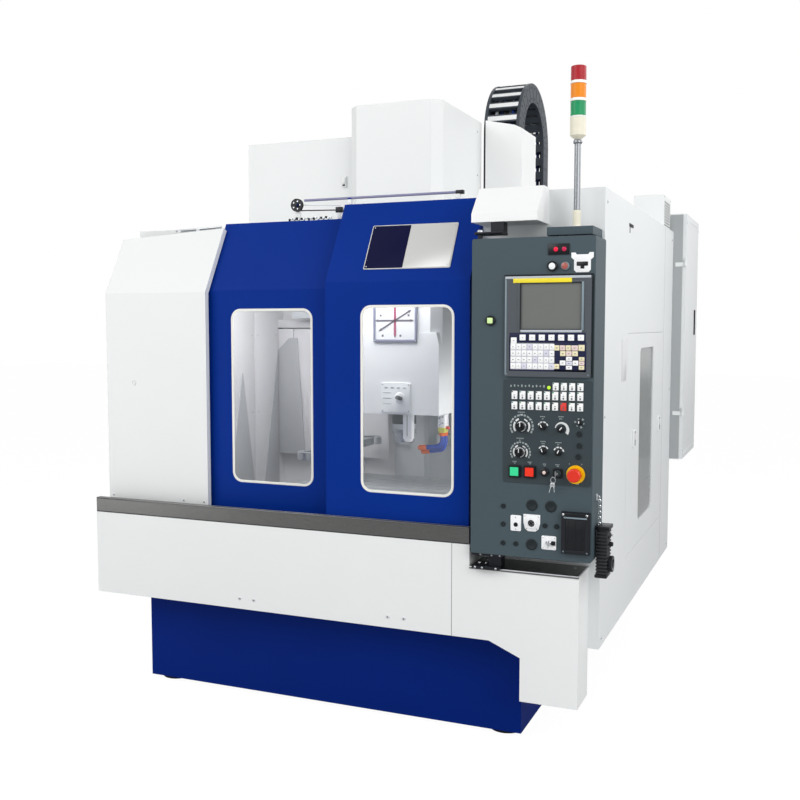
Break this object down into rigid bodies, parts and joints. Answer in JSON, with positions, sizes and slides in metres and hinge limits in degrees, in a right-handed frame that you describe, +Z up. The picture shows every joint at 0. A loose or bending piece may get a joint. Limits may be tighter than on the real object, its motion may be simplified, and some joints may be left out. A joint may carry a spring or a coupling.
{
  "type": "cnc machining center",
  "caption": "Enclosed vertical machining centre with a telescoping double door, swivelling control panel, signal tower and rear electrical cabinet.",
  "frame": {"origin": "middle of the overall outline, on the floor", "axes": "+Z up, -Y towards the operator at the doors, +X to the operator's right, towards the control panel"},
  "size_m": [2.345, 2.795, 2.9419],
  "materials": {
    "white_paint": "smooth satin powder coat",
    "blue_paint": "satin blue paint",
    "base_blue_paint": "satin dark blue paint on cast iron",
    "liner_paint": "satin white paint",
    "stainless": "brushed along its length",
    "machined_steel": "ground and turned",
    "table_iron": "ground working face",
    "head_paint": "satin light grey paint",
    "column_paint": "satin grey-white paint on cast iron",
    "panel_grey": "fine textured grey-green paint",
    "display_grey": "fine matt",
    "screen_dark": "dark glossy screen",
    "key_white": "satin",
    "plate_grey": "matt",
    "knob_black": "matt",
    "dial_black": "satin",
    "yellow_plastic": "satin",
    "red_plastic": "satin",
    "green_plastic": "satin",
    "socket_white": "satin",
    "black_plastic": "matt",
    "black_steel": "satin black",
    "chain_grey": "matt",
    "name_plate": "bare satin plate",
    "tower_cream": "satin",
    "lens_red": "translucent",
    "window_clear": "clear safety glass",
    "hose_blue": "satin blue segments",
    "key_chrome": "bright",
    "drive_grey": "satin"
  },
  "bodies": {
    "base": {"bed": "base_blue_paint", "leveling_feet": "black_steel", "apron": "white_paint", "stainless_trim": "stainless", "pedestal": "white_paint", "left_cover": "white_paint", "left_side_panel": "white_paint", "right_side_panel": "white_paint", "side_hatch": "white_paint", "side_window": "window_clear", "panel_top_cover": "white_paint", "roof_panel": "white_paint", "chamber_liner": "liner_paint", "door_tracks": "stainless", "column": "column_paint", "column_cover": "white_paint", "magazine_cover": "white_paint", "cable_chain": "chain_grey", "electrical_cabinet": "white_paint", "hinge_brackets": "black_steel", "tower_bracket": "panel_grey", "signal_tower": "tower_cream", "tower_lenses": "lens_red"},
    "left_door": {"left_door": "blue_paint", "left_window": "window_clear"},
    "right_door": {"right_door": "blue_paint", "right_window": "window_clear", "nameplate": "name_plate"},
    "door_pulley": {"door_pulley": "drive_grey"},
    "operator_panel": {"operator_panel": "panel_grey", "display_unit": "display_grey", "display_screen": "screen_dark", "keypad": "key_white", "sub_panel": "plate_grey", "operator_keys": "key_white", "selector_knobs": "knob_black", "estop_ring": "yellow_plastic", "socket_plates": "socket_white", "console_box": "black_plastic", "pendant": "black_plastic"},
    "feed_dial": {"feed_dial": "dial_black"},
    "spindle_dial": {"spindle_dial": "dial_black"},
    "cycle_start": {"cycle_start": "green_plastic"},
    "feed_hold": {"feed_hold": "red_plastic"},
    "emergency_stop": {"emergency_stop": "red_plastic"},
    "key_switch": {"key_switch": "key_chrome"},
    "pendant_wheel": {"pendant_wheel": "black_plastic"},
    "saddle": {"saddle": "column_paint"},
    "table": {"table": "table_iron"},
    "x_screw": {"x_screw": "machined_steel"},
    "y_screw": {"y_screw": "machined_steel"},
    "z_screw": {"z_screw": "machined_steel"},
    "head": {"spindle_head": "head_paint", "head_cover": "white_paint", "coolant_nozzles": "hose_blue"},
    "spindle": {"spindle": "machined_steel"},
    "magazine_drum": {"magazine_drum": "machined_steel"},
    "changer_arm": {"changer_arm": "machined_steel"},
    "cabinet_door": {"cabinet_door": "white_paint"},
    "cabinet_latch": {"cabinet_latch": "black_plastic"}
  },
  "joints": [
    {"name": "right_door_slide", "type": "slide", "parent": "base", "child": "right_door", "axis": [-1, 0, 0], "range_m": [0, 0.96]},
    {"name": "left_door_slide", "type": "slide", "parent": "base", "child": "left_door", "axis": [-1, 0, 0], "range_m": [0, 0.48]},
    {"name": "pulley_spin", "type": "hinge", "parent": "left_door", "child": "door_pulley", "pos_m": [-0.2805, -1.0255, 2.18], "axis": [0, -1, 0], "continuous": true},
    {"name": "panel_swing", "type": "hinge", "parent": "base", "child": "operator_panel", "pos_m": [0.6645, -1.3275, 1.3785], "axis": [0, 0, 1], "range_deg": [-85, 0]},
    {"name": "y_axis", "type": "slide", "parent": "base", "child": "saddle", "axis": [0, 1, 0], "range_m": [-0.22, 0.22]},
    {"name": "x_axis", "type": "slide", "parent": "saddle", "child": "table", "axis": [1, 0, 0], "range_m": [-0.4, 0.4]},
    {"name": "z_axis", "type": "slide", "parent": "base", "child": "head", "axis": [0, 0, 1], "range_m": [-0.12, 0.42]},
    {"name": "spindle_spin", "type": "hinge", "parent": "head", "child": "spindle", "pos_m": [-0.0175, -0.4275, 1.4], "axis": [0, 0, 1], "continuous": true},
    {"name": "x_screw_spin", "type": "hinge", "parent": "saddle", "child": "x_screw", "pos_m": [-0.0175, -0.4275, 0.76], "axis": [1, 0, 0], "continuous": true},
    {"name": "y_screw_spin", "type": "hinge", "parent": "base", "child": "y_screw", "pos_m": [-0.0175, -0.4425, 0.59], "axis": [0, 1, 0], "continuous": true},
    {"name": "z_screw_spin", "type": "hinge", "parent": "base", "child": "z_screw", "pos_m": [-0.0175, 0.1345, 1.585], "axis": [0, 0, 1], "continuous": true},
    {"name": "magazine_spin", "type": "hinge", "parent": "base", "child": "magazine_drum", "pos_m": [-0.5375, -0.1975, 2.31], "axis": [1, 0, 0], "continuous": true},
    {"name": "changer_arm_swing", "type": "hinge", "parent": "base", "child": "changer_arm", "pos_m": [-0.3575, -0.4275, 1.038], "axis": [0, 0, 1], "range_deg": [0, 180]},
    {"name": "cabinet_door_hinge", "type": "hinge", "parent": "base", "child": "cabinet_door", "pos_m": [1.1655, 0.7905, 1.585], "axis": [0, 0, -1], "range_deg": [0, 110]},
    {"name": "cabinet_latch_turn", "type": "hinge", "parent": "cabinet_door", "child": "cabinet_latch", "pos_m": [1.1585, 1.2585, 1.6715], "axis": [1, 0, 0], "range_deg": [0, 90]},
    {"name": "feed_dial_turn", "type": "hinge", "parent": "operator_panel", "child": "feed_dial", "pos_m": [0.8395, -1.3575, 1.277], "axis": [0, 1, 0], "range_deg": [-135, 135]},
    {"name": "spindle_dial_turn", "type": "hinge", "parent": "operator_panel", "child": "spindle_dial", "pos_m": [0.8355, -1.3575, 1.18], "axis": [0, 1, 0], "range_deg": [-135, 135]},
    {"name": "cycle_start_push", "type": "slide", "parent": "operator_panel", "child": "cycle_start", "axis": [0, 1, 0], "range_m": [0, 0.004], "stiffness_N_per_m": 400},
    {"name": "feed_hold_push", "type": "slide", "parent": "operator_panel", "child": "feed_hold", "axis": [0, 1, 0], "range_m": [0, 0.004], "stiffness_N_per_m": 400},
    {"name": "emergency_stop_push", "type": "slide", "parent": "operator_panel", "child": "emergency_stop", "axis": [0, 1, 0], "range_m": [0, 0.005], "stiffness_N_per_m": 600},
    {"name": "key_turn", "type": "hinge", "parent": "operator_panel", "child": "key_switch", "pos_m": [0.9785, -1.3675, 1.109], "axis": [0, 1, 0], "range_deg": [0, 90]},
    {"name": "pendant_wheel_spin", "type": "hinge", "parent": "operator_panel", "child": "pendant_wheel", "pos_m": [1.1625, -1.2685, 0.768], "axis": [1, 0, 0], "continuous": true}
  ],
  "couplings": [
    {"joint": "left_door_slide", "follows": "right_door_slide", "ratio": 0.5},
    {"joint": "pulley_spin", "follows": "right_door_slide", "rad_per_m": 20},
    {"joint": "x_screw_spin", "follows": "x_axis", "rad_per_m": 392.7},
    {"joint": "y_screw_spin", "follows": "y_axis", "rad_per_m": 392.7},
    {"joint": "z_screw_spin", "follows": "z_axis", "rad_per_m": 392.7}
  ]
}
